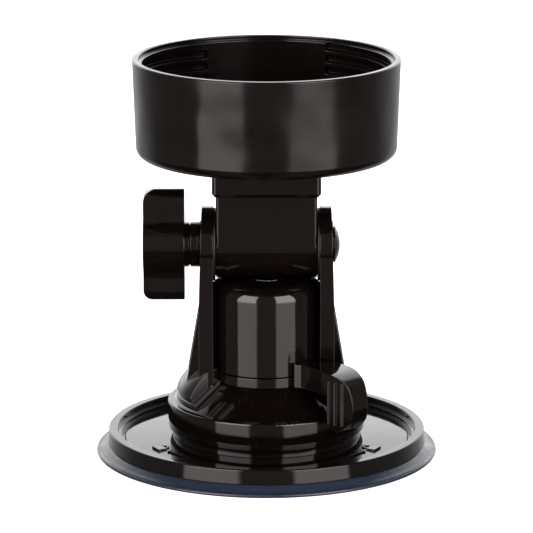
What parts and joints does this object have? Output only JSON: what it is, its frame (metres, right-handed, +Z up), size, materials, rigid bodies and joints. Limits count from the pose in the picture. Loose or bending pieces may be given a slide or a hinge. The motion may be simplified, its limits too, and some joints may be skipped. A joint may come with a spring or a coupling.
{
  "type": "suction cup mount",
  "caption": "Windscreen suction mount: a wide threaded cup on a knuckle that tilts in a wing-knob yoke, over a suction base locked by a turning lever.",
  "frame": {"origin": "centre of the suction pad's flat underside", "axes": "+Z up through the base and cup axes, +X along the tilt pivot towards the bolt head, -Y towards the front, where the lever swings"},
  "size_m": [0.09, 0.09, 0.1056],
  "materials": {
    "gloss_black": "polished black moulding",
    "cup_black": "polished black moulding",
    "lever_black": "polished black moulding",
    "knob_black": "semi-gloss black moulding",
    "pad_clear": "glossy translucent blue-grey soft vinyl",
    "black_steel": "black zinc plate",
    "zinc_steel": "bright zinc plate",
    "brass": "turned",
    "acetal": "natural acetal",
    "washer_black": "black nylon"
  },
  "bodies": {
    "base": {"suction_pad": "pad_clear", "base_disc": "gloss_black", "housing_screws": "zinc_steel", "lock_housing": "gloss_black", "stud_bush": "acetal", "lever_washer": "acetal", "yoke_cap": "gloss_black", "cap_screw": "black_steel", "cap_washer": "black_steel", "pivot_bolt": "black_steel", "head_washer": "black_steel", "friction_washer_right": "washer_black", "friction_washer_left": "washer_black"},
    "lever": {"lock_lever": "lever_black"},
    "stud": {"pull_plate": "zinc_steel", "pull_stud": "zinc_steel", "cross_pin": "zinc_steel"},
    "cup_head": {"tilt_knuckle": "gloss_black", "pivot_sleeve": "zinc_steel", "threaded_cup": "cup_black", "cup_screws": "black_steel"},
    "knob_carrier": {"knob_washer": "black_steel"},
    "knob": {"wing_knob": "knob_black", "knob_nut": "brass"}
  },
  "joints": [
    {"name": "lever_turn", "type": "hinge", "parent": "base", "child": "lever", "pos_m": [0, 0, 0.0218], "axis": [0, 0, 1], "range_deg": [-75, 0]},
    {"name": "stud_lift", "type": "slide", "parent": "base", "child": "stud", "axis": [0, 0, 1], "range_m": [0, 0.002]},
    {"name": "cup_tilt", "type": "hinge", "parent": "base", "child": "cup_head", "pos_m": [0, 0, 0.0559], "axis": [1, 0, 0], "range_deg": [-75, 75]},
    {"name": "knob_travel", "type": "slide", "parent": "base", "child": "knob_carrier", "axis": [-1, 0, 0], "range_m": [0, 0.0016]},
    {"name": "knob_turn", "type": "hinge", "parent": "knob_carrier", "child": "knob", "pos_m": [-0.025, 0, 0.0559], "axis": [-1, 0, 0], "range_deg": [0, 720]}
  ],
  "couplings": [
    {"joint": "stud_lift", "follows": "lever_turn", "m_per_rad": -0.0015279},
    {"joint": "knob_travel", "follows": "knob_turn", "m_per_rad": 0.00012732}
  ]
}
